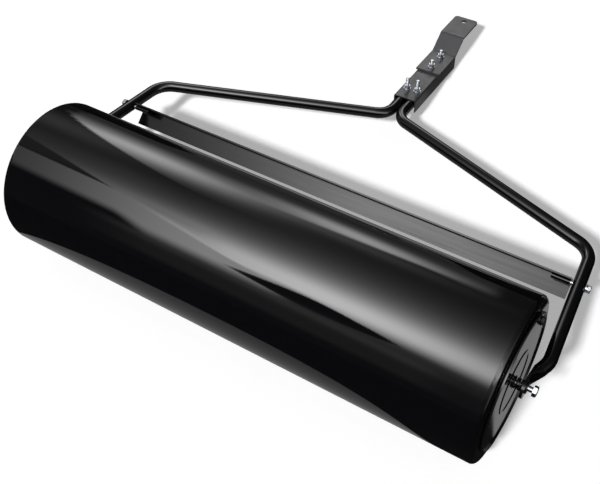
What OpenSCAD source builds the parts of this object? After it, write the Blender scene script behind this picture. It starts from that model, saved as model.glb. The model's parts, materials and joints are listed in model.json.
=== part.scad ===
// Towed lawn roller: a water-filled steel drum in a bent-tube frame with a bolted hitch.
// X runs along the axle, +Y points to the hitch and +Z is up. The origin is on the ground,
// under the middle of the roller. Unhitched, it rests on the drum and on the end of the hitch
// channel, so the whole frame slopes down to the hitch.
// Modules draw in the frame's own plane: X along the axle, Y forward from the axle and Z
// square to the tubes. on_ground() tips that plane onto the ground.

/* [Drum] */
// Length of the drum over its shoulders
drum_len = 1000; // [600:10:1400]
// Outer diameter of the drum
drum_d = 300; // [250:5:400]
// Thickness of the rolled shell
shell_wall = 2; // [1:0.1:3]
// Outer radius of the rounded shoulders
shoulder_r = 10; // [4:1:14]
// Width of the end plates' weld seam on the shell's turned-in flange
flange_w = 5; // [3:0.5:5.5]

/* [End plates] */
// Thickness of the pressed end plates
plate_t = 2; // [1:0.1:3]
// Distance of the end plates' rim from the side of the drum
plate_in = 25; // [18:1:32]
// Height of the end plates' turned-out lip
lip_h = 2.5; // [1.5:0.1:5]
// Radius of the embossed stiffening ring
ring_r = 55; // [40:1:62]
// Width of the embossed ring
ring_w = 7; // [6:1:12]
// Height of the embossed ring
ring_h = 1.2; // [0.8:0.1:3]
// Diameter of the hub's recess around the axle stack
recess_d = 25; // [24.5:0.5:27]
// Depth of the hub's recess, from the face of the end plate
hub_depth = 10; // [5:0.5:14]

/* [Filler] */
// Distance of the filler plug from the end plate's rim
filler_in = 16; // [16:1:30]
// Angle of the filler plug above the frame's plane
filler_angle = 40; // [20:5:160]
// Diameter of the filler plug's thread
filler_thread_d = 12; // [8:1:14]
// Outer diameter of the boss behind the end plate
filler_boss_d = 20; // [17:1:21]
// Length of the boss behind the end plate
filler_boss_h = 12; // [8:1:20]
// Length of the plug's thread under its flange
plug_reach = 12; // [8:1:20]
// Diameter of the plug's flange
plug_flange_d = 17; // [16:1:20]
// Thickness of the plug's flange
plug_flange_t = 1.5; // [1.5:0.5:4]
// Width across the flats of the plug's hexagon
plug_hex_af = 12; // [10:1:14]
// Height of the plug's hexagon
plug_hex_h = 3; // [2:1:10]
// Thickness of the seal under the plug
seal_t = 1; // [1:0.5:2.5]

/* [Axle] */
// Diameter of the two axle bolts
axle_d = 10; // [8:1:12]
// Length of an axle bolt under its head
axle_len = 65; // [60:1:70]
// Length of thread on an axle bolt
axle_thread = 32; // [24:1:40]
// Bare shank left between the outer washer and the head
axle_play = 9; // [2:0.5:12]
// Outer diameter of the hub bosses
boss_d = 32; // [29:1:36]
// Length of the hub bosses
boss_len = 34; // [32:1:60]
// Length of the springs, as fitted
spring_len = 16; // [12:0.5:20]
// Outer diameter of the springs
spring_d = 21; // [18:0.5:24]
// Wire diameter of the springs
spring_wire = 2.5; // [1.6:0.1:3]
// Turns of each spring
spring_turns = 5; // [3:0.5:5]

/* [Frame tubes] */
// Outer diameter of the tubes
tube_d = 24; // [20:0.5:28]
// Wall of the tubes
tube_wall = 2; // [1:0.1:3]
// Thickness of the flattened eyes
eye_t = 5; // [4:0.5:8]
// How far the middle of an eye's rounded end lies behind the axle
eye_back = 4; // [0:0.5:8]
// Distance from the axle to the end of the flattened part
flat_len = 18; // [14:1:30]
// Distance from the axle to the bend at the tube's foot
foot_y = 66; // [50:1:90]
// Step outwards from the eye to that bend
foot_step = 15.5; // [8:0.5:20]
// Bend radius there, to the tube's middle
foot_bend_r = 45; // [40:1:60]
// Distance from the axle to the outer corners
corner_y = 351; // [300:1:420]
// How far the outer corners lie beyond the drum's ends
corner_out = 10; // [4:1:30]
// Distance from the axle to the corners at the hitch
hitch_y = 524; // [480:1:560]
// Bend radius of the outer corners, to the tube's middle
corner_bend_r = 50; // [40:1:80]
// Bend radius at the hitch, to the tube's middle
hitch_bend_r = 38; // [35:1:60]

/* [Hitch] */
// Distance from the axle to the channel's near end
channel_y = 580; // [575:1:680]
// Length of the channel
channel_len = 205; // [195:1:260]
// Thickness of the channel's sheet
channel_t = 2.5; // [2:0.1:4]
// Height of the channel's sides, over the top
channel_h = 31.5; // [28:0.5:40]
// Distance from the channel's near end to the clamp bolts
clamp_in = 35; // [20:1:60]
// Width of the tow plate
tow_w = 58; // [45:1:70]
// Thickness of the tow plate
tow_t = 5; // [3:0.5:8]
// Length of the tow plate before its slope
tow_lap = 85; // [60:1:120]
// Distance from the start of the slope to the channel's far end
slope_in = 8; // [2:1:20]
// Distance from the tow plate's near end to its first bolt
tow_bolt_in = 20; // [12:1:24]
// Distance between the tow plate's two bolts
tow_bolt_gap = 47; // [20:1:56]
// Distance from the ends of the tubes to the tow plate's first bolt
tube_stop = 24; // [12:1:40]
// Forward reach of the tow plate's slope
slope_run = 39; // [25:1:60]
// Height of the step in the tow plate
slope_rise = 30; // [10:1:45]
// Length of the tow plate beyond the slope
tow_tongue = 82; // [60:1:120]
// Diameter of the hitch-pin hole
pin_d = 13; // [10:0.5:20]
// Distance from the pin hole to the plate's end
pin_edge = 17; // [14:1:40]

/* [Cross bar] */
// Distance from the axle to the cross bar's bolts
bar_y = 256; // [210:1:280]
// Leg of the angle-section cross bar
bar_leg = 40; // [36:1:50]
// Thickness of the cross bar
bar_t = 3; // [2:0.5:5]
// Slope of the cross bar's lower leg
bar_slope = 42; // [0:1:60]
// Gap between the cross bar's ends and the side tubes
bar_end_gap = 4; // [2:0.5:15]
// Length of the threaded sleeves welded to the cross bar
sleeve_len = 35; // [20:1:60]
// Outer diameter of the threaded sleeves
sleeve_d = 11; // [10.5:0.5:14]

/* [Fasteners] */
// Thread diameter of the frame's bolts
bolt_d = 8; // [6:1:8]
// Length of the clamp bolts under their heads
clamp_len = 55; // [50:1:60]
// Length of the tow plate's bolts under their heads
tow_bolt_len = 25; // [20:1:30]
// Length of the cross bar's bolts under their heads
bar_bolt_len = 60; // [50:1:65]

/* [Hidden] */

$fn = 96;
// Facets on the children of a hull, and on each bend of a sheet
hull_fn = 48;
bend_steps = 4;
// Overshoot of a cut past the face it cuts
over = 1;
// Reach of a straight tube into the next bend, and how much thicker the bend is
lap = 0.2;
hair = 0.15;

// Clearances, all measured across one gap
run_clear = 0.1;     // round the axle bolts in the frame eyes, and round the plug
thread_clear = 0.05; // between a thread and its nut, boss or socket
hole_clear = 0.3;    // round a bolt in a clearance hole
side_clear = 0.3;    // between a washer and the eye it runs against
seal_clear = 0.3;    // under the plug's seal

left = -1;
right = 1;

// Drum and hub
drum_r = drum_d / 2;
drum_end = drum_len / 2;
plate_r = drum_r - plate_in;
flange_r = plate_r - flange_w;
plate_face = drum_end + plate_t;
plate_mid = plate_t / 2;
boss_face = plate_face - hub_depth;
boss_bottom = 4;

// Axle stack, outwards from the boss
washer_t = 2;
washer_d = 2 * axle_d + 1;
axle_af = 1.7 * axle_d;
lock_nut_h = 0.8 * axle_d;
spring_x = boss_face + lock_nut_h;
inner_washer_x = spring_x + spring_len;
eye_in = inner_washer_x + washer_t + side_clear;
eye_x = eye_in + eye_t / 2;
outer_washer_x = eye_in + eye_t + side_clear;
head_x = outer_washer_x + washer_t + axle_play;
axle_head_h = 0.7 * axle_d;
spring_steps = 18;
spring_sides = 6;

// Filler
seal_d = plug_flange_d - 1;
seal_x = plate_face + seal_clear;
plug_x = seal_x + seal_t;
filler_r = plate_r - filler_in;
filler_at = filler_r * [cos(filler_angle), sin(filler_angle)];

// Tubes: half a flattened tube's girth is its width
blade_w = PI * (tube_d - eye_t) / 2 + eye_t;
tube_r = tube_d / 2;
tube_gap = 0.5;
tube_x = (tube_d + tube_gap) / 2;
// Channel and tow plate
channel_w = 2 * (tube_d + channel_t + tube_gap);
channel_bend_r = 1.5;
channel_top = tube_r + channel_t;
channel_low = channel_top - channel_h;
channel_end_y = channel_y + channel_len;
clamp_y = channel_y + clamp_in;
tow_bend_y = channel_end_y - slope_in;
tow_start_y = tow_bend_y - tow_lap;
tow_flat_y = tow_bend_y + slope_run;
tow_end_y = tow_flat_y + tow_tongue;
tow_mid = channel_top + tow_t / 2;
tow_top = channel_top + slope_rise + tow_t;
tow_bend_r = tow_t;
tow_corner_r = 8;
tow_bolt_ys = [tow_start_y + tow_bolt_in, tow_start_y + tow_bolt_in + tow_bolt_gap];
tube_end_y = tow_bolt_ys[0] - tube_stop;
pin_y = tow_end_y - pin_edge;

// Tube route
foot_at = [eye_x + foot_step, foot_y];
round_at = ([eye_x, flat_len] + foot_at) / 2;
corner_at = [drum_end + corner_out, corner_y];
route = [round_at, foot_at, corner_at, [tube_x, hitch_y], [tube_x, tube_end_y]];
bends = [0, foot_bend_r, corner_bend_r, hitch_bend_r, 0];
foot_angle = atan2(foot_step, foot_y - flat_len);
side_angle = atan2(foot_at.x - corner_at.x, corner_at.y - foot_at.y);

// Metric fasteners in proportion to their thread
nut_af = 1.625 * bolt_d;
nut_h = 0.8 * bolt_d;
head_h = 0.66 * bolt_d;
flat_washer_d = 2 * bolt_d;
flat_washer_t = 0.2 * bolt_d;
spring_washer_d = 1.7 * bolt_d;
spring_washer_t = 0.25 * bolt_d;

// Cross bar section: its sleeves lie inside the upper leg, three quarters of the way up
sleeve_up = 0.75 * bar_leg;
leg_down = [-cos(bar_slope), -sin(bar_slope)];
leg_up = [-sin(bar_slope), cos(bar_slope)];
bar_corner = [bar_y, 0] - sleeve_up * leg_up - (bar_t + sleeve_d / 2) * leg_down;
bar_mid = bar_t / 2;
bar_path = [bar_corner + bar_leg * leg_down + bar_mid * leg_up,
    bar_corner + bar_mid * leg_down + bar_mid * leg_up,
    bar_corner + bar_leg * leg_up + bar_mid * leg_down];
bar_tube_x = foot_at.x - (bar_y - foot_y) * tan(side_angle);
bar_end_x = bar_tube_x - tube_r - bar_end_gap;
bar_washer_x = bar_tube_x + tube_r / cos(side_angle) + flat_washer_d / 2 * tan(side_angle);
bar_spring_x = bar_washer_x + flat_washer_t;
bar_head_x = bar_spring_x + spring_washer_t;

// Rest: the frame turns about the axle until the channel's far end meets the ground
rest_tilt = asin(drum_r / norm([channel_end_y, channel_low])) - atan2(-channel_low, channel_end_y);
front_y = tow_end_y * cos(rest_tilt) + tow_top * sin(rest_tilt);
axle_y = (drum_r - front_y) / 2;

paint = "#1b1b1d";
plate_paint = "#232325";
tube_paint = "#161617";
zinc = "#c3c6c9";
dark_zinc = "#2c2c2e";
spring_black = "#0e0e0f";
plug_black = "#101012";
rubber = "#1a1a1a";

function heading(a, b) = (b - a) / norm(b - a);
function bend_angle(a, b, c) = acos(heading(a, b) * heading(b, c));
function bend_setback(a, b, c, r) = r == 0 ? 0 : r * tan(bend_angle(a, b, c) / 2);
function bend_side(a, b, c) = sign(cross(heading(a, b), heading(b, c)));
function bend_start(a, b, c, r) = b - heading(a, b) * bend_setback(a, b, c, r);
function bend_end(a, b, c, r) = b + heading(b, c) * bend_setback(a, b, c, r);
function left_of(u) = [-u.y, u.x];
function bend_centre(a, b, c, r) =
    bend_start(a, b, c, r) + r * bend_side(a, b, c) * left_of(heading(a, b));
// Ends of the straight stretch from point i to point i + 1 of a bent path
function straight_from(p, r, i) = i == 0 ? p[0] : bend_end(p[i - 1], p[i], p[i + 1], r[i]);
function straight_to(p, r, i) =
    i + 2 == len(p) ? p[i + 1] : bend_start(p[i], p[i + 1], p[i + 2], r[i + 1]);

function bend_points(a, b, c, r, out) =
    let (centre = bend_centre(a, b, c, r),
        spoke = bend_start(a, b, c, r) - centre,
        side = bend_side(a, b, c),
        first = atan2(spoke.y, spoke.x),
        turn = side * bend_angle(a, b, c) / bend_steps)
    [for (i = [0:bend_steps])
        centre + (r - side * out) * [cos(first + turn * i), sin(first + turn * i)]];
// One face of a bent sheet, lying out to the left of the path
function sheet_side(p, r, out) =
    let (last = len(p) - 1)
    concat([p[0] + out * left_of(heading(p[0], p[1]))],
        [for (i = [1:last - 1]) each bend_points(p[i - 1], p[i], p[i + 1], r, out)],
        [p[last] + out * left_of(heading(p[last - 1], p[last]))]);

module on_ground() {
    translate([0, axle_y, drum_r]) rotate([-rest_tilt, 0, 0]) children();
}

module on_side(side) {
    mirror([side == left ? 1 : 0, 0, 0]) children();
}

// Turns an upright shape to point along +X, its foot at x
module facing_out(x, at = [0, 0]) {
    translate([x, at.x, at.y]) rotate([0, 90, 0]) children();
}

module washer(d, bore, t) {
    difference() {
        cylinder(d = d, h = t);
        translate([0, 0, -over]) cylinder(d = bore, h = t + 2 * over);
    }
}

// Hexagon whose top corners are turned down, as on a bolt head
module hex_head(af, h) {
    corner = af / 2 / cos(30);
    land = 0.475 * af;
    intersection() {
        cylinder(r = corner, h = h, $fn = 6);
        rotate_extrude()
            polygon([[0, 0], [corner, 0], [corner, h - (corner - land) * tan(30)], [land, h], [0, h]]);
    }
}

module hex_nut(d, af, h) {
    difference() {
        intersection() {
            hex_head(af, h);
            translate([0, 0, h]) mirror([0, 0, 1]) hex_head(af, h);
        }
        translate([0, 0, -over]) cylinder(d = d + 2 * thread_clear, h = h + 2 * over);
    }
}

// Rod with ringed thread grooves over its last stretch
module threaded_rod(d, length, thread_len) {
    p = 0.15 * d;
    depth = 0.6 * p;
    first = length - thread_len;
    count = floor(thread_len / p);
    rotate_extrude()
        polygon(concat(
            [[0, 0], [d / 2, 0], [d / 2, first]],
            [for (i = [0:count - 1], k = [0, 1])
                [d / 2 - k * depth, first + (i + (k + 0.2) / 2) * p]],
            [[d / 2 - depth, length], [0, length]]));
}

module hex_bolt(d, length, thread_len, af, h) {
    threaded_rod(d, length, thread_len);
    mirror([0, 0, 1]) hex_head(af, h);
}

// Tube that follows a bent path in the XY plane. Each bend is drawn a hair thicker than the
// straights, which reach a little way into it, so that no two surfaces fall on each other.
module bent_tube(path, radii, d, bore) {
    for (i = [0:len(path) - 2]) {
        from = straight_from(path, radii, i);
        to = straight_to(path, radii, i);
        translate([from.x, from.y, 0])
            rotate([0, 90, atan2(to.y - from.y, to.x - from.x)])
                translate([0, 0, -lap])
                    linear_extrude(norm(to - from) + (i + 2 == len(path) ? lap : 2 * lap))
                        ring(d, bore);
    }
    for (i = [1:len(path) - 2]) {
        a = path[i - 1];
        b = path[i];
        c = path[i + 1];
        centre = bend_centre(a, b, c, radii[i]);
        turn = bend_angle(a, b, c);
        spoke = bend_start(a, b, c, radii[i]) - centre;
        translate([centre.x, centre.y, 0])
            rotate([0, 0, atan2(spoke.y, spoke.x) - (bend_side(a, b, c) < 0 ? turn : 0)])
                rotate_extrude(angle = turn)
                    translate([radii[i], 0]) ring(d + 2 * hair, bore - 2 * hair);
    }
}

module ring(d, bore) {
    difference() {
        circle(d = d);
        circle(d = bore);
    }
}

// Edge view of sheet metal bent along a path, t thick, with r to the middle of each bend
module bent_sheet(path, t, r) {
    back = sheet_side(path, r, -t / 2);
    polygon(concat(sheet_side(path, r, t / 2), [for (i = [len(back) - 1:-1:0]) back[i]]));
}

// Lays an edge view drawn in X and Y into the frame's Y and Z, w wide about the middle
module across_x(w) {
    rotate([90, 0, 90]) translate([0, 0, -w / 2]) linear_extrude(w) children();
}

// ---- Drum ----

// Half-section of the drum's closed outline, radius along X, set in from the outside
module drum_outline(inset) {
    r = drum_r - inset;
    half = drum_end - inset;
    round_r = shoulder_r - inset;
    translate([0, -half]) square([r - round_r, 2 * half]);
    translate([0, round_r - half]) square([r, 2 * (half - round_r)]);
    for (end = [-1, 1]) translate([r - round_r, end * (half - round_r)]) circle(round_r);
}

module drum_shell() color(paint)
    rotate([0, 90, 0]) rotate_extrude($fn = 180)
        difference() {
            drum_outline(0);
            drum_outline(shell_wall);
            translate([-over, -drum_len]) square([flange_r + over, 2 * drum_len]);
        }

// Pressed end plate: flat, with a round opening at the hub, a raised ring and a turned-out lip
module end_plate(side) color(plate_paint)
    on_side(side) difference() {
        facing_out(drum_end) rotate_extrude($fn = 180)
            bent_sheet([[recess_d / 2, plate_mid], [ring_r - ring_w / 2, plate_mid],
                [ring_r - ring_w / 8, plate_mid + ring_h],
                [ring_r + ring_w / 8, plate_mid + ring_h],
                [ring_r + ring_w / 2, plate_mid], [plate_r - plate_mid, plate_mid],
                [plate_r - plate_mid, plate_t + lip_h]], plate_t, 0.6 * plate_t);
        if (side == right)
            facing_out(drum_end - over, filler_at)
                cylinder(d = filler_thread_d + 2 * run_clear, h = plate_t + 2 * over);
    }

// Blind boss behind the end plate: a recess for the axle stack, and the thread below it
module hub_boss(side) color(paint)
    on_side(side) facing_out(boss_face - boss_len) difference() {
        cylinder(d = boss_d, h = boss_len + hub_depth - plate_t);
        translate([0, 0, boss_bottom]) cylinder(d = axle_d + 2 * thread_clear, h = boss_len);
        translate([0, 0, boss_len]) cylinder(d = recess_d, h = hub_depth);
    }

module axle_bolt(side) color(zinc)
    on_side(side) facing_out(head_x) mirror([0, 0, 1])
        hex_bolt(axle_d, axle_len, axle_thread, axle_af, axle_head_h);

module axle_lock_nuts() color(dark_zinc)
    for (side = [left, right])
        on_side(side) facing_out(boss_face) hex_nut(axle_d, axle_af, lock_nut_h);

module axle_spring(side) color(spring_black)
    on_side(side) {
        coil_r = (spring_d - spring_wire) / 2;
        climb = spring_len - spring_wire;
        rings = ceil(spring_turns * spring_steps);
        points = [for (i = [0:rings], k = [0:spring_sides - 1])
            let (turn = 360 * spring_turns * i / rings,
                lean = 360 * k / spring_sides,
                out = coil_r + spring_wire / 2 * cos(lean))
            [spring_x + spring_wire / 2 + climb * i / rings + spring_wire / 2 * sin(lean),
                out * cos(turn), out * sin(turn)]];
        sides = [for (i = [0:rings - 1], k = [0:spring_sides - 1])
            let (a = i * spring_sides + k,
                b = i * spring_sides + (k + 1) % spring_sides,
                c = b + spring_sides,
                d = a + spring_sides)
            each [[a, c, b], [a, d, c]]];
        caps = [[for (k = [0:spring_sides - 1]) k],
            [for (k = [spring_sides - 1:-1:0]) rings * spring_sides + k]];
        polyhedron(points, concat(sides, caps));
    }

module axle_washers() color(zinc)
    for (side = [left, right], x = [inner_washer_x, outer_washer_x])
        on_side(side) facing_out(x) washer(washer_d, axle_d + 2 * run_clear, washer_t);

module filler_boss() color(paint)
    facing_out(drum_end - filler_boss_h, filler_at)
        washer(filler_boss_d, filler_thread_d + 2 * run_clear, filler_boss_h);

module filler_plug() color(plug_black)
    facing_out(plug_x, filler_at) {
        translate([0, 0, -plug_reach]) cylinder(d = filler_thread_d, h = plug_reach);
        cylinder(d = plug_flange_d, h = plug_flange_t);
        translate([0, 0, plug_flange_t]) hex_head(plug_hex_af, plug_hex_h);
    }

module plug_seal() color(rubber)
    facing_out(seal_x, filler_at) washer(seal_d, filler_thread_d + 2 * thread_clear, seal_t);

// ---- Frame ----

module side_tube(side) color(tube_paint)
    on_side(side) difference() {
        union() {
            facing_out(eye_in, [-eye_back, 0]) cylinder(d = blade_w, h = eye_t);
            translate([eye_in, -eye_back, -blade_w / 2])
                cube([eye_t, eye_back + flat_len, blade_w]);
            hull() {
                for (z = [-1, 1])
                    translate([eye_x, flat_len, z * (blade_w - eye_t) / 2])
                        rotate([-90, 0, 0]) cylinder(d = eye_t, h = 0.5, $fn = hull_fn);
                translate([round_at.x, round_at.y, 0])
                    rotate([90, 0, -foot_angle]) cylinder(d = tube_d - 2 * hair, h = 0.5, $fn = hull_fn);
            }
            bent_tube(route, bends, tube_d, tube_d - 2 * tube_wall);
        }
        facing_out(eye_in - over) cylinder(d = axle_d + 2 * run_clear, h = eye_t + 2 * over);
        translate([tube_x, clamp_y, -tube_d])
            cylinder(d = bolt_d + 2 * hole_clear, h = 2 * tube_d);
        facing_out(bar_tube_x - tube_d, [bar_y, 0])
            cylinder(d = bolt_d + 2 * hole_clear, h = 2 * tube_d);
    }

// Flat-topped arch, its top at the origin, for the outside and the inside of the channel
module arch(w, h, r) {
    translate([-w / 2, -h]) square([w, h - r]);
    translate([r - w / 2, -h]) square([w - 2 * r, h]);
    for (side = [-1, 1]) translate([side * (w / 2 - r), -r]) circle(r);
}

module hitch_channel() color(tube_paint)
    difference() {
        translate([0, channel_end_y, channel_top]) rotate([90, 0, 0])
            linear_extrude(channel_len) difference() {
                arch(channel_w, channel_h, channel_bend_r + channel_t);
                translate([0, -channel_t])
                    arch(channel_w - 2 * channel_t, channel_h, channel_bend_r);
            }
        for (x = [-tube_x, tube_x]) translate([x, clamp_y, 0])
            cylinder(d = bolt_d + 2 * hole_clear, h = 2 * channel_h);
        for (y = tow_bolt_ys) translate([0, y, 0])
            cylinder(d = bolt_d + 2 * hole_clear, h = 2 * channel_h);
    }

module tow_plate() color(tube_paint)
    difference() {
        intersection() {
            across_x(tow_w)
                bent_sheet([[tow_start_y, tow_mid], [tow_bend_y, tow_mid],
                    [tow_flat_y, tow_mid + slope_rise], [tow_end_y, tow_mid + slope_rise]],
                    tow_t, tow_bend_r);
            linear_extrude(4 * tow_top) {
                translate([-tow_w / 2, 0]) square([tow_w, tow_end_y - tow_corner_r]);
                translate([tow_corner_r - tow_w / 2, 0])
                    square([tow_w - 2 * tow_corner_r, tow_end_y]);
                for (side = [-1, 1])
                    translate([side * (tow_w / 2 - tow_corner_r), tow_end_y - tow_corner_r])
                        circle(tow_corner_r);
            }
        }
        translate([0, pin_y, 0]) cylinder(d = pin_d, h = 2 * tow_top);
        for (y = tow_bolt_ys) translate([0, y, 0])
            cylinder(d = bolt_d + 2 * hole_clear, h = 2 * tow_top);
    }

module clamp_bolts() color(zinc)
    for (x = [-tube_x, tube_x]) translate([x, clamp_y, -tube_r])
        hex_bolt(bolt_d, clamp_len, clamp_len - tube_d - channel_t, nut_af, head_h);

module clamp_nuts() color(zinc)
    for (x = [-tube_x, tube_x]) translate([x, clamp_y, channel_top + flat_washer_t])
        hex_nut(bolt_d, nut_af, nut_h);

module clamp_washers() color(zinc)
    for (x = [-tube_x, tube_x]) translate([x, clamp_y, channel_top])
        washer(flat_washer_d, bolt_d + 2 * run_clear, flat_washer_t);

module tow_plate_bolts() color(zinc)
    for (y = tow_bolt_ys) translate([0, y, tube_r])
        hex_bolt(bolt_d, tow_bolt_len, tow_bolt_len - channel_t - tow_t, nut_af, head_h);

module tow_plate_nuts() color(zinc)
    for (y = tow_bolt_ys) translate([0, y, channel_top + tow_t + flat_washer_t])
        hex_nut(bolt_d, nut_af, nut_h);

module tow_plate_washers() color(zinc)
    for (y = tow_bolt_ys) translate([0, y, channel_top + tow_t])
        washer(flat_washer_d, bolt_d + 2 * run_clear, flat_washer_t);

module cross_bar() color(tube_paint)
    across_x(2 * bar_end_x) bent_sheet(bar_path, bar_t, bar_t);

module cross_bar_sleeves() color(tube_paint)
    for (side = [left, right]) on_side(side) facing_out(bar_end_x - sleeve_len, [bar_y, 0])
        washer(sleeve_d, bolt_d + 2 * thread_clear, sleeve_len);

module cross_bar_bolts() color(zinc)
    for (side = [left, right]) on_side(side) facing_out(bar_head_x, [bar_y, 0])
        mirror([0, 0, 1])
            hex_bolt(bolt_d, bar_bolt_len, 2.75 * bolt_d, nut_af, head_h);

module cross_bar_washers() color(zinc)
    for (side = [left, right]) on_side(side) facing_out(bar_washer_x, [bar_y, 0])
        washer(flat_washer_d, bolt_d + 2 * run_clear, flat_washer_t);

// Split spring washers
module cross_bar_lock_washers() color(zinc)
    for (side = [left, right]) on_side(side) facing_out(bar_spring_x, [bar_y, 0])
        difference() {
            washer(spring_washer_d, bolt_d + 2 * run_clear, spring_washer_t);
            translate([0, -0.5, -over]) cube([spring_washer_d, 1, spring_washer_t + 2 * over]);
        }

on_ground() {
    drum_shell();
    end_plate(left);  // left_end_plate
    end_plate(right);  // right_end_plate
    hub_boss(left);  // left_hub_boss
    hub_boss(right);  // right_hub_boss
    axle_bolt(left);  // left_axle_bolt
    axle_bolt(right);  // right_axle_bolt
    axle_lock_nuts();
    axle_spring(left);  // left_spring
    axle_spring(right);  // right_spring
    axle_washers();
    filler_boss();
    filler_plug();
    plug_seal();
    side_tube(left);  // left_side_tube
    side_tube(right);  // right_side_tube
    hitch_channel();
    tow_plate();
    clamp_bolts();
    clamp_nuts();
    clamp_washers();
    tow_plate_bolts();
    tow_plate_nuts();
    tow_plate_washers();
    cross_bar();
    cross_bar_sleeves();
    cross_bar_bolts();
    cross_bar_washers();
    cross_bar_lock_washers();
}
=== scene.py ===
"""Looks for a towed lawn roller: gloss black water drum, bent-tube frame, angle cross bar and bolted hitch.

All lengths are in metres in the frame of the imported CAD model: X along the axle, +Y towards the hitch and Z
up.
"""
import json
import math

import bpy
import bmesh
from mathutils import Matrix, Vector


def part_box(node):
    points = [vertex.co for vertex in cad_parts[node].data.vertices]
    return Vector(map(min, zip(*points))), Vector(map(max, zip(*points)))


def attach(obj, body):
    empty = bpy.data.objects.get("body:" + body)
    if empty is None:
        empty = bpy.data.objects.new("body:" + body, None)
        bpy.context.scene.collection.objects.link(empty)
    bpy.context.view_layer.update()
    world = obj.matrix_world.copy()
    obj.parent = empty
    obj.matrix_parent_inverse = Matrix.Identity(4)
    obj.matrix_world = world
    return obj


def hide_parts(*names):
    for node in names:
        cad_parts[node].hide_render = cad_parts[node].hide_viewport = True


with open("model.json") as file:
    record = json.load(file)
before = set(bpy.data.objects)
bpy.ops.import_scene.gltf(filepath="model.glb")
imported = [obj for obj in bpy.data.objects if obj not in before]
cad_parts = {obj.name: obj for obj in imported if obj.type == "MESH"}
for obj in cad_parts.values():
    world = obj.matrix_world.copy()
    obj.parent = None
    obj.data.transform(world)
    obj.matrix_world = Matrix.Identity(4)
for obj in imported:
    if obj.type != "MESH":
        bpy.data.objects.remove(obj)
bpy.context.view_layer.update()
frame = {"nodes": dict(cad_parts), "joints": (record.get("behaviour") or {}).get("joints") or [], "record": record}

MM = 0.001
NOISE_LOW, NOISE_HIGH = 0.3, 0.7            # nearly all of a noise texture's values lie between these
NODES = frame["nodes"]
SPIN = next(j for j in frame["joints"] if j["name"] == "drum_spin")
AXLE = Vector(SPIN["pos_m"])                # the middle of the drum, on its axle
DRUM_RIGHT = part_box("drum_shell")[1].x      # the drum's right end


# ---------------------------------------------------------------- small helpers

def srgb(hex_code, alpha=1.0):
    """A colour written as sRGB hex, turned to the linear values that the shaders take."""
    out = []
    for i in (1, 3, 5):
        c = int(hex_code[i:i + 2], 16) / 255
        out.append(c / 12.92 if c <= 0.04045 else ((c + 0.055) / 1.055) ** 2.4)
    return (*out, alpha)


def add_node(tree, kind, settings=None, links=None):
    """Adds one node. Settings are input values or properties, by name or input number. Links feed inputs."""
    node = tree.nodes.new(kind)
    for key, value in (settings or {}).items():
        if isinstance(key, int) or (not hasattr(node, key) and key in node.inputs):
            node.inputs[key].default_value = value
        else:
            setattr(node, key, value)
    for key, source in (links or {}).items():
        tree.links.new(source, node.inputs[key])
    return node


def emptied_tree(owner):
    """The node tree of a material or of the world, with nothing in it yet."""
    owner.use_nodes = True
    owner.node_tree.nodes.clear()
    return owner.node_tree


def new_material(name, colour, roughness, **shader):
    """A Principled material and its tree. The constants go straight on the shader's own sockets."""
    mat = bpy.data.materials.new(name)
    tree = emptied_tree(mat)
    bsdf = add_node(tree, "ShaderNodeBsdfPrincipled",
                    {"Base Color": srgb(colour), "Roughness": roughness, **shader})
    add_node(tree, "ShaderNodeOutputMaterial", links={"Surface": bsdf.outputs[0]})
    place = add_node(tree, "ShaderNodeTexCoord").outputs["Object"]
    return mat, tree, bsdf, place


def noise(tree, place, size, detail=2.0, stretch=None):
    """Noise whose features are about size metres across, or drawn out along an axis by stretch."""
    if stretch:
        place = add_node(tree, "ShaderNodeMapping", {"Scale": stretch}, {"Vector": place}).outputs[0]
    return add_node(tree, "ShaderNodeTexNoise", {"Scale": 1 / size, "Detail": detail},
                    {"Vector": place}).outputs[0]


def spread(tree, value, low, high):
    """Turns a 0 to 1 pattern into values from low to high, spread over the middle of the noise's range."""
    return add_node(tree, "ShaderNodeMapRange",
                    {"From Min": NOISE_LOW, "From Max": NOISE_HIGH, "To Min": low, "To Max": high},
                    {"Value": value}).outputs[0]


def bump(tree, bsdf, height, depth, under=None):
    """Relief of that depth in metres on the shader, over another relief if there is one."""
    links = {"Height": height}
    if under is not None:
        links["Normal"] = under
    out = add_node(tree, "ShaderNodeBump", {"Strength": 1.0, "Distance": depth}, links).outputs[0]
    tree.links.new(out, bsdf.inputs["Normal"])
    return out


def paint(node, material):
    """Gives a CAD node its material."""
    for slot in NODES[node].material_slots:
        slot.material = material


# ---------------------------------------------------------------- materials

def drum_paint():
    """Gloss black powder coat, baked on rolled sheet: deep black with sharp reflections, a faint orange
    peel, and the slow ripple of thin sheet rolled into a drum, which bends the long highlights a little."""
    mat, tree, bsdf, place = new_material("gloss_black_powder_coat", "#08080a", 0.03, IOR=1.5)
    patchy = noise(tree, place, 60 * MM, 3)
    tree.links.new(spread(tree, patchy, 0.02, 0.04), bsdf.inputs["Roughness"])
    ripple = bump(tree, bsdf, noise(tree, place, 170 * MM, 1, (0.6, 1, 1)), 0.3 * MM)
    bump(tree, bsdf, noise(tree, place, 3 * MM, 2), 0.012 * MM, ripple)
    return mat


def end_plate_paint():
    """The same black powder coat on the pressed end plates, a little less glossy in the pressed steps."""
    mat, tree, bsdf, place = new_material("black_powder_coat_on_pressing", "#0d0d0e", 0.09, IOR=1.5)
    tree.links.new(spread(tree, noise(tree, place, 40 * MM, 3), 0.07, 0.11), bsdf.inputs["Roughness"])
    bump(tree, bsdf, noise(tree, place, 3 * MM, 2), 0.02 * MM)
    return mat


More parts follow.
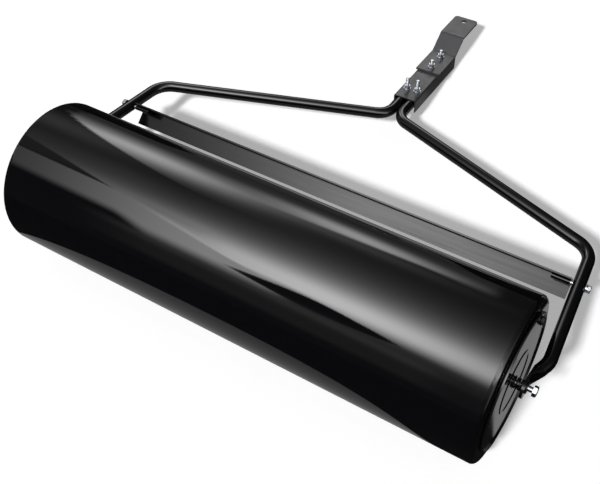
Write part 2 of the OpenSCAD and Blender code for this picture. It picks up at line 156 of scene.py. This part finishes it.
def frame_paint():
    """Semi-gloss black powder coat on drawn tube and turned sleeves: one soft highlight line, and a fine
    orange peel."""
    mat, tree, bsdf, place = new_material("semi_gloss_black_powder_coat", "#050506", 0.1,
                                          **{"IOR": 1.5, "Specular IOR Level": 0.42})
    tree.links.new(spread(tree, noise(tree, place, 25 * MM, 3), 0.08, 0.12), bsdf.inputs["Roughness"])
    bump(tree, bsdf, noise(tree, place, 2 * MM, 2), 0.02 * MM)
    return mat


def bar_paint_painted_shade():
    """The frame's powder coat on the rolled angle iron, duller and mirroring less than on the tubes: this weaker
    reflection is painted shade, for the darker reflections of the bar's face.
    """
    mat, tree, bsdf, place = new_material("dulled_black_powder_coat_painted_shade", "#0a0a0b", 0.16,
                                          **{"IOR": 1.5, "Specular IOR Level": 0.25})
    lines = noise(tree, place, 5 * MM, 3, (0.03, 1, 1))       # faint rolling lines along the steel
    tree.links.new(spread(tree, lines, 0.12, 0.22), bsdf.inputs["Roughness"])
    under = bump(tree, bsdf, lines, 0.05 * MM)
    bump(tree, bsdf, noise(tree, place, 2 * MM, 2), 0.015 * MM, under)
    return mat


def hitch_paint():
    """Satin black powder coat on the thick hitch steel: it scatters more light than the tube's coat."""
    mat, tree, bsdf, place = new_material("satin_black_powder_coat", "#313133", 0.36, IOR=1.5)
    tree.links.new(spread(tree, noise(tree, place, 25 * MM, 3), 0.32, 0.4), bsdf.inputs["Roughness"])
    tint = add_node(tree, "ShaderNodeMix", {"data_type": "RGBA", 6: srgb("#2c2c2e"), 7: srgb("#363638")},
                    {0: noise(tree, place, 12 * MM, 4)})
    tree.links.new(tint.outputs[2], bsdf.inputs["Base Color"])
    bump(tree, bsdf, noise(tree, place, 1.6 * MM, 2), 0.025 * MM)
    return mat


def zinc():
    """Bright zinc plate on cold-headed steel: pale metal with a faint blue cast and cloudy patches."""
    mat, tree, bsdf, place = new_material("bright_zinc_plate", "#aeb2b8", 0.32, Metallic=1.0)
    cloud = noise(tree, place, 4 * MM, 3)
    tint = add_node(tree, "ShaderNodeMix", {"data_type": "RGBA", 6: srgb("#9da1a8"), 7: srgb("#c2c5ca")},
                    {0: cloud})
    tree.links.new(tint.outputs[2], bsdf.inputs["Base Color"])
    tree.links.new(spread(tree, cloud, 0.26, 0.38), bsdf.inputs["Roughness"])
    bump(tree, bsdf, noise(tree, place, 1.0 * MM, 2), 0.01 * MM)
    return mat


def black_steel():
    """Oiled black oxide on steel: nearly black metal with a soft sheen."""
    mat, tree, bsdf, place = new_material("oiled_black_oxide_steel", "#0b0b0c", 0.34, Metallic=0.3)
    tree.links.new(spread(tree, noise(tree, place, 3 * MM, 3), 0.3, 0.46), bsdf.inputs["Roughness"])
    bump(tree, bsdf, noise(tree, place, 0.8 * MM, 2), 0.01 * MM)
    return mat


def plug_plastic():
    """Moulded black nylon: matt, with a fine spark-eroded grain."""
    mat, tree, bsdf, place = new_material("moulded_black_nylon", "#121213", 0.5, IOR=1.53)
    tree.links.new(spread(tree, noise(tree, place, 6 * MM, 2), 0.44, 0.56), bsdf.inputs["Roughness"])
    bump(tree, bsdf, noise(tree, place, 0.7 * MM, 1), 0.02 * MM)
    return mat


def seal_rubber():
    """Black nitrile rubber washer: dull, with a dusty bloom."""
    mat, tree, bsdf, place = new_material("black_nitrile_rubber", "#161616", 0.8, IOR=1.52)
    tint = add_node(tree, "ShaderNodeMix", {"data_type": "RGBA", 6: srgb("#131313"), 7: srgb("#1d1d1d")},
                    {0: noise(tree, place, 2 * MM, 3)})
    tree.links.new(tint.outputs[2], bsdf.inputs["Base Color"])
    bump(tree, bsdf, noise(tree, place, 0.6 * MM, 1), 0.02 * MM)
    return mat


FINISH = {"drum_paint": drum_paint(), "end_plate_paint": end_plate_paint(), "frame_paint": frame_paint(),
          "hitch_paint": hitch_paint(), "zinc": zinc(), "black_steel": black_steel(),
          "plug_plastic": plug_plastic(), "seal_rubber": seal_rubber()}
for part in frame["record"]["subparts"]:
    paint(part["node"], FINISH[part["material_slot"]])
# The cross bar gets a duller copy of the frame's coat: its weaker reflection is painted shade.
paint("cross_bar", bar_paint_painted_shade())


# ---------------------------------------------------------------- springs

SPRING_WIRE = 2.5 * MM
SPRING_TURNS = 5
CLOSED_TURNS = 0.75                         # the part of a turn that lies flat at each end


def coil_spring(name, node, body, steps=40, sides=12):
    """A compression spring of round wire with closed, flattened end turns, which fills the CAD spring's
    box. It has that many steps to a turn and that many sides round the wire."""
    lo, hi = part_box(node)
    mid = (lo + hi) / 2
    length = hi.x - lo.x
    wire_r = SPRING_WIRE / 2
    mean_r = (hi.z - lo.z) / 2 - wire_r
    count = SPRING_TURNS * steps
    bm = bmesh.new()
    rings = []
    for i in range(count + 1):
        t = i / count
        climb = min(max((t * SPRING_TURNS - CLOSED_TURNS) / (SPRING_TURNS - 2 * CLOSED_TURNS), 0), 1)
        x = lo.x + wire_r + climb * (length - SPRING_WIRE)
        a = 2 * math.pi * t * SPRING_TURNS
        out = Vector((0, math.cos(a), math.sin(a)))
        centre = Vector((x, mid.y, mid.z)) + mean_r * out
        ring = []
        for k in range(sides):
            b = 2 * math.pi * k / sides
            p = centre + wire_r * (math.cos(b) * out + math.sin(b) * Vector((1, 0, 0)))
            p.x = min(max(p.x, lo.x), hi.x)
            ring.append(bm.verts.new(p))
        rings.append(ring)
    for r0, r1 in zip(rings, rings[1:]):
        for k in range(sides):
            bm.faces.new((r0[k], r1[k], r1[(k + 1) % sides], r0[(k + 1) % sides]))
    bm.faces.new(rings[0])
    bm.faces.new(list(reversed(rings[-1])))
    bmesh.ops.recalc_face_normals(bm, faces=bm.faces)
    mesh = bpy.data.meshes.new(name)
    bm.to_mesh(mesh)
    bm.free()
    for face in mesh.polygons:
        face.use_smooth = True
    obj = bpy.data.objects.new(name, mesh)
    bpy.context.scene.collection.objects.link(obj)
    obj.data.materials.append(FINISH["black_steel"])
    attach(obj, body)
    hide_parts(node)


# ---------------------------------------------------------------- studio

GROUND = 0.0
CARD_LIFT = 0.4 * MM                        # the glossy-only cards lie this far above the floor
FLOOR_HALF = 30
FLOOR_WHITE = 0.34                          # what brings the lit floor up to white where it is seen


def stage_mesh(name, verts, faces, material):
    """A mesh that belongs to the studio and not to the roller."""
    mesh = bpy.data.meshes.new(name)
    mesh.from_pydata(verts, [], faces)
    obj = bpy.data.objects.new(name, mesh)
    bpy.context.scene.collection.objects.link(obj)
    obj.data.materials.append(material)
    return obj


def only_in_gloss(obj):
    """Makes a card that shows in polished surfaces only, and neither lights nor shades the roller."""
    obj.visible_camera = False
    obj.visible_diffuse = False
    obj.visible_transmission = False
    obj.visible_volume_scatter = False
    obj.visible_shadow = False


def seen_directly(tree):
    """1 for rays from the camera and in mirrors or glass, and 0 for the light that falls on things."""
    path = add_node(tree, "ShaderNodeLightPath")
    seen = add_node(tree, "ShaderNodeMath", {"operation": "MAXIMUM"},
                    {0: path.outputs["Is Camera Ray"], 1: path.outputs["Is Glossy Ray"]})
    seen = add_node(tree, "ShaderNodeMath", {"operation": "MAXIMUM"},
                    {0: seen.outputs[0], 1: path.outputs["Is Transmission Ray"]})
    return seen.outputs[0]


def floor_material():
    """Matt white floor. The lift makes it white to the camera and in polished parts, and shadows stay."""
    mat = bpy.data.materials.new("matt_white_floor")
    tree = emptied_tree(mat)
    matt = add_node(tree, "ShaderNodeBsdfDiffuse", {"Color": srgb("#f4f4f4")})
    lift = add_node(tree, "ShaderNodeMath", {"operation": "MULTIPLY", 1: FLOOR_WHITE},
                    {0: seen_directly(tree)})
    glow = add_node(tree, "ShaderNodeEmission", {"Color": srgb("#ffffff")}, {"Strength": lift.outputs[0]})
    both = add_node(tree, "ShaderNodeAddShader", links={0: matt.outputs[0], 1: glow.outputs[0]})
    add_node(tree, "ShaderNodeOutputMaterial", links={"Surface": both.outputs[0]})
    return mat


def card_material(name, strength, matt=None):
    """A plain studio card that glows that much. Matt is its own colour, where it scatters light too."""
    mat = bpy.data.materials.new(name)
    tree = emptied_tree(mat)
    glow = add_node(tree, "ShaderNodeEmission", {"Color": srgb("#ffffff"), "Strength": strength})
    surface = glow.outputs[0]
    if matt:
        flat = add_node(tree, "ShaderNodeBsdfDiffuse", {"Color": srgb(matt)})
        surface = add_node(tree, "ShaderNodeAddShader", links={0: flat.outputs[0], 1: surface}).outputs[0]
    add_node(tree, "ShaderNodeOutputMaterial", links={"Surface": surface})
    return mat


def towards(azimuth, elevation):
    """The direction at that azimuth, clockwise from +Y, and elevation, in degrees."""
    a, e = math.radians(azimuth), math.radians(elevation)
    return Vector((math.sin(a) * math.cos(e), math.cos(a) * math.cos(e), math.sin(e)))


def ramp(x, at_0, at_1):
    """0 at at_0, 1 at at_1, smooth between them and flat outside; at_0 may be the larger."""
    t = min(max((x - at_0) / (at_1 - at_0), 0), 1)
    return t * t * (3 - 2 * t)


def hump(x, middle, half, half_above=None):
    """1 at the middle, fading both ways over about half, or over half_above on the middle's upper side."""
    if half_above is not None and x > middle:
        half = half_above
    return math.exp(-((x - middle) / half) ** 2)


def rounded(across, along, power):
    """How far out a point lies in a rounded shape: 1 on its rim. Both are in shares of the half sizes."""
    return (abs(across) ** power + abs(along) ** power) ** (1 / power)


# The tent's light is laid out by direction. u is the share of the direction along X, from -1 to 1, and phi
# the angle about X in degrees: 0 level towards the hitch, 90 overhead, 180 level behind the drum. A strength
# of 1 is white. Each part of the pattern is one function, with its own sizes and strengths in it.

def overhead_light(u, phi, edge):
    """The long overhead light: brightest just behind overhead, with a slow fade forwards."""
    peak, peak_phi, fade, steepness = 10.4, 119, 21.2, 1.7
    left_end, full_from = -0.78, -0.24
    weakest, rise, right_loss = 0.14, 0.95, 0.55
    reach = (weakest + rise * ramp(u, left_end, full_from)) * (1 - right_loss * ramp(u, full_from, 0.2))
    # It is dimmer at the left, but for a bright line along its back edge.
    dip, line = 0.28, 0.6 * hump(phi, edge - 2, 2.5)
    reach *= 1 - dip * ramp(u, -0.42, -0.5) * ramp(phi, 102, 110) * (1 - line)
    return peak / (1 + (max(0, peak_phi - phi) / fade) ** 2) ** steepness * reach


def sheet_light(u, phi):
    """The paler sheet behind it, which starts at a level lower edge and fades out above the camera."""
    dim, bright = 0.6, 4.2
    left = ramp(u, -0.54, -0.6)
    sheet = dim + bright * ramp(u, -0.76, -0.42) * (1 - ramp(u, -0.36, -0.3))
    return sheet * (ramp(phi, 149 - 10 * left, 134 - 7 * left) * ramp(phi, 105, 107))


def camera_shade(u, phi):
    """0 within the dark outline of the camera, which is pointed at both ends, and 1 outside it."""
    lens = rounded((u + 0.27) / 0.15, (phi - 136.6) / 7.2, 1.3)
    return 1 - ramp(lens, 1.08, 0.9)


def light_overhead_and_behind(u, phi):
    """The overhead light and the sheet behind it. The edge between them is sharp and curves forward at the
    left, and is soft in the middle and at the right."""
    bend_from, bend = -0.33, 33
    edge = 131 - bend * (max(0, bend_from - u) / -bend_from) ** 1.6 + 6.5 * ramp(u, -0.3, -0.2)
    soft = 2.5 + 5.5 * ramp(u, -0.42, -0.34) + 10 * ramp(u, -0.3, -0.2)
    inside = ramp(phi, edge + 1.5, edge + 1.5 - soft)
    back = overhead_light(u, phi, edge) * inside + sheet_light(u, phi) * (1 - inside)
    return back * camera_shade(u, phi)


def oval_window(u, phi):
    """1 within the oval window beyond the hitch, and 0 outside it. It is open to the right."""
    middle_u, middle_phi, half_u = -0.5, 15, 0.205
    half_phi = 47 if phi > middle_phi else 80
    rim = rounded(min(u - middle_u, 0) / half_u, (phi - middle_phi) / half_phi, 1.6)
    return ramp(rim, 1.02, 0.98)


def lamps_in_window(u, phi):
    """Two lamps beyond the hitch: a round one to the left, and near the middle a lower one with a sharp
    top. Both stand in a faint glow."""
    left_u, left_width = -0.61, 0.16
    lamp_left = 4.5 * hump(phi, 34.5, 11.5, 15.5) * hump(u, left_u, left_width)
    lamp_left += 0.45 * hump(phi, 18, 8) * hump(u, left_u, left_width)
    lamp_mid = 3.8 * hump(phi, 22, 10, 14) * hump(u, -0.26, 0.14, 0.16)
    top = 35 - 36 * (u + 0.45) + 25 * max(0, u + 0.15)
    blur = 3 + 5 * ramp(u, -0.15, 0)
    right_end = ramp(u, -0.005, -0.035)
    lamp_mid *= ramp(phi, top + blur, top - blur) * right_end
    around = 0.45 * hump(phi, 34, 8) * hump(u, -0.3, 0.2) + 0.09 * ramp(phi, 30, 10) * right_end
    return lamp_left + lamp_mid + around


def dim_walls(u, phi):
    """The faint light outside the window, on the wall behind the drum, in the haze overhead at the left,
    and beyond the right end."""
    outside = 0.35 * hump(phi, 47, 16) * ramp(u, -0.52, -0.68) * (1 - oval_window(u, phi))
    wall = 0.13 * ramp(phi, 176, 166) * ramp(phi, 140, 150) + 0.3 * hump(phi, 148, 5)
    wall *= ramp(u, -0.66, -0.5) * (1 - 0.6 * ramp(u, -0.1, 0))
    haze = 0.16 * ramp(u, -0.5, -0.62) * ramp(phi, 60, 80) * ramp(phi, 108, 102)
    side = 0.8 * ramp(u, 0.7, 0.97) * ramp(phi, 0, 100)
    return outside + wall + haze + side


def tent_light(u, phi):
    """How bright the studio tent is in that direction."""
    everywhere = 0.03
    lamps = lamps_in_window(u, phi) * oval_window(u, phi)
    return everywhere + light_overhead_and_behind(u, phi) + lamps + dim_walls(u, phi)


def studio_tent(radius=3.0, u_steps=220, phi_steps=235):
    """A barrel-shaped tent round the roller, with its light laid on its vertices, that only gloss shows."""
    verts, light = [], []
    u_end = 0.995                               # the barrel stops just short of its poles
    phi_from, phi_to = -4.0, 184.0
    for i in range(u_steps + 1):
        u = -u_end + 2 * u_end * i / u_steps
        for k in range(phi_steps + 1):
            phi = phi_from + (phi_to - phi_from) * k / phi_steps
            a = math.radians(phi)
            r = math.sqrt(1 - u * u)
            verts.append(AXLE + radius * Vector((u, r * math.cos(a), r * math.sin(a))))
            light.append(tent_light(u, phi))
    row = phi_steps + 1
    faces = [(i * row + k, i * row + k + 1, (i + 1) * row + k + 1, (i + 1) * row + k)
             for i in range(u_steps) for k in range(phi_steps)]
    mat = bpy.data.materials.new("tent_light")
    tree = emptied_tree(mat)
    value = add_node(tree, "ShaderNodeAttribute", {"attribute_name": "light"}).outputs["Fac"]
    glow = add_node(tree, "ShaderNodeEmission", {"Color": srgb("#ffffff")}, {"Strength": value})
    add_node(tree, "ShaderNodeOutputMaterial", links={"Surface": glow.outputs[0]})
    tent = stage_mesh("studio_tent", verts, faces, mat)
    tent.data.attributes.new("light", "FLOAT", "POINT").data.foreach_set("value", light)
    only_in_gloss(tent)


def far_lamp(name, azimuth, elevation, spread_angle, level):
    """A far soft lamp, that wide in degrees. Level is the light on a surface square to it, where 1 makes a
    white matt surface render as white."""
    lamp = bpy.data.lights.new(name, "SUN")
    lamp.angle = math.radians(spread_angle)
    lamp.energy = level * math.pi
    obj = bpy.data.objects.new(name, lamp)
    bpy.context.scene.collection.objects.link(obj)
    obj.matrix_world = towards(azimuth, elevation).to_track_quat("Z", "Y").to_matrix().to_4x4()
    obj.visible_glossy = False


def table_rim(angle, half_x, half_y):
    """A point on the rim of a rounded table top that leans a little to the left at its near side."""
    middle_x, middle_y = -0.10, -0.2
    lean, lean_from = 0.12, -0.5
    near_corners, far_corners = 2.3, 3.2        # 2 is an ellipse, and more is squarer
    c, s = math.cos(angle), math.sin(angle)
    bulge = 2 / (near_corners if s < 0 else far_corners)
    px = middle_x + half_x * math.copysign(abs(c) ** bulge, c)
    py = middle_y + half_y * math.copysign(abs(s) ** bulge, s)
    return (px + lean * min(py - lean_from, 0), py, GROUND + CARD_LIFT)


def table_outline(half_x, half_y, count=96):
    """The whole rim of such a table top."""
    return [table_rim(2 * math.pi * i / count, half_x, half_y) for i in range(count)]


def table_card(rim):
    """The grey table under the roller. Its glow is painted light: it stands in for the light on the table top, so
    that polished parts show it as an evenly lit grey.
    """
    # the table's 0.27 glow is painted light on its top
    card = stage_mesh("table_card", rim, [tuple(range(len(rim)))],
                      card_material("table_grey_painted_glow", 0.27, matt="#3f3f3f"))
    only_in_gloss(card)


def dark_floor(rim):
    """The dark studio floor from the table's rim outwards. Its faint glow is painted light, for the little light
    that falls on it.
    """
    far, count = 12, len(rim)
    ring = [(i, (i + 1) % count, count + (i + 1) % count, count + i) for i in range(count)]
    # the dark floor's faint glow is painted light
    card = stage_mesh("dark_studio_floor", rim + table_outline(far, far), ring,
                      card_material("dark_floor", 0.01))
    only_in_gloss(card)


def floor_beside_drum():
    """The shaded floor beside the drum's right end, which its end plate mirrors."""
    x0, x1 = DRUM_RIGHT, DRUM_RIGHT + 60 * MM
    near_0, near_1, far = AXLE.y - 58 * MM, AXLE.y + 70 * MM, AXLE.y + 600 * MM
    corners = [(x0, near_0), (x1, near_1), (x1, far), (x0, far)]
    strip = stage_mesh("floor_beside_drum", [(x, y, 2 * CARD_LIFT) for x, y in corners], [(0, 1, 2, 3)],
                       card_material("shaded_floor", 0.31))
    only_in_gloss(strip)


def floor_in_window():
    """The floor beyond the hitch, which shows in the same oval window as the two lamps: a strip of lit
    floor with a round near end, whose straight sides run away to the left."""
    end_x, end_y, end_r, bend = -0.28, 0.93, 0.42, 32
    far_y, far_right, far_left = 12, -1.4, -9.0
    turns = [math.pi * i / bend for i in range(bend + 1)]
    outline = [(end_x - end_r * math.cos(a), end_y - end_r * math.sin(a)) for a in turns]
    outline += [(far_right, far_y), (far_left, far_y)]
    window = stage_mesh("window_floor", [(x, AXLE.y + y, 2 * CARD_LIFT) for x, y in outline],
                        [tuple(range(len(outline)))], card_material("window_floor", 0.1))
    only_in_gloss(window)


def build_world():
    """Weak even light from all round, and a white backdrop wherever it is seen."""
    fill, white = 0.1, 1.0
    world = bpy.data.worlds.new("studio")
    bpy.context.scene.world = world
    tree = emptied_tree(world)
    level = add_node(tree, "ShaderNodeMapRange", {"To Min": fill, "To Max": white},
                     {"Value": seen_directly(tree)})
    sky = add_node(tree, "ShaderNodeBackground", {"Color": srgb("#ffffff")}, {"Strength": level.outputs[0]})
    add_node(tree, "ShaderNodeOutputWorld", links={"Surface": sky.outputs[0]})


def build_studio():
    """The white floor, the cards and tent that only gloss shows, one far lamp and the world."""
    f = FLOOR_HALF
    stage_mesh("floor", [(-f, -f, GROUND), (f, -f, GROUND), (f, f, GROUND), (-f, f, GROUND)],
               [(0, 1, 2, 3)], floor_material())
    rim = table_outline(0.58, 0.522)
    table_card(rim)
    floor_beside_drum()
    dark_floor(rim)
    floor_in_window()
    studio_tent()
    far_lamp("key_lamp", azimuth=184, elevation=46.5, spread_angle=7, level=0.9)
    build_world()


def build_camera():
    """A 52.5 mm lens on a 36 mm sensor, above the right end of the drum and behind it."""
    down, turn, roll = 53.14, 39.87, 10.03      # degrees: tilt below level, turn from +Y to -X, roll
    stand = Matrix.Translation((0.6700, -1.0451, 1.4564))
    cam = bpy.data.cameras.new("camera")
    cam.lens = 52.5
    cam.sensor_width = 36
    cam.sensor_fit = "HORIZONTAL"
    cam.clip_end = 100
    obj = bpy.data.objects.new("camera", cam)
    bpy.context.scene.collection.objects.link(obj)
    obj.matrix_world = (stand
                        @ Matrix.Rotation(math.radians(turn), 4, "Z")
                        @ Matrix.Rotation(math.radians(90 - down), 4, "X")
                        @ Matrix.Rotation(math.radians(-roll), 4, "Z"))
    bpy.context.scene.camera = obj


# ---------------------------------------------------------------- the scene

coil_spring("left_round_wire_spring", "left_spring", "drum")
coil_spring("right_round_wire_spring", "right_spring", "drum")
build_studio()
build_camera()
bpy.context.scene.view_settings.view_transform = "Standard"
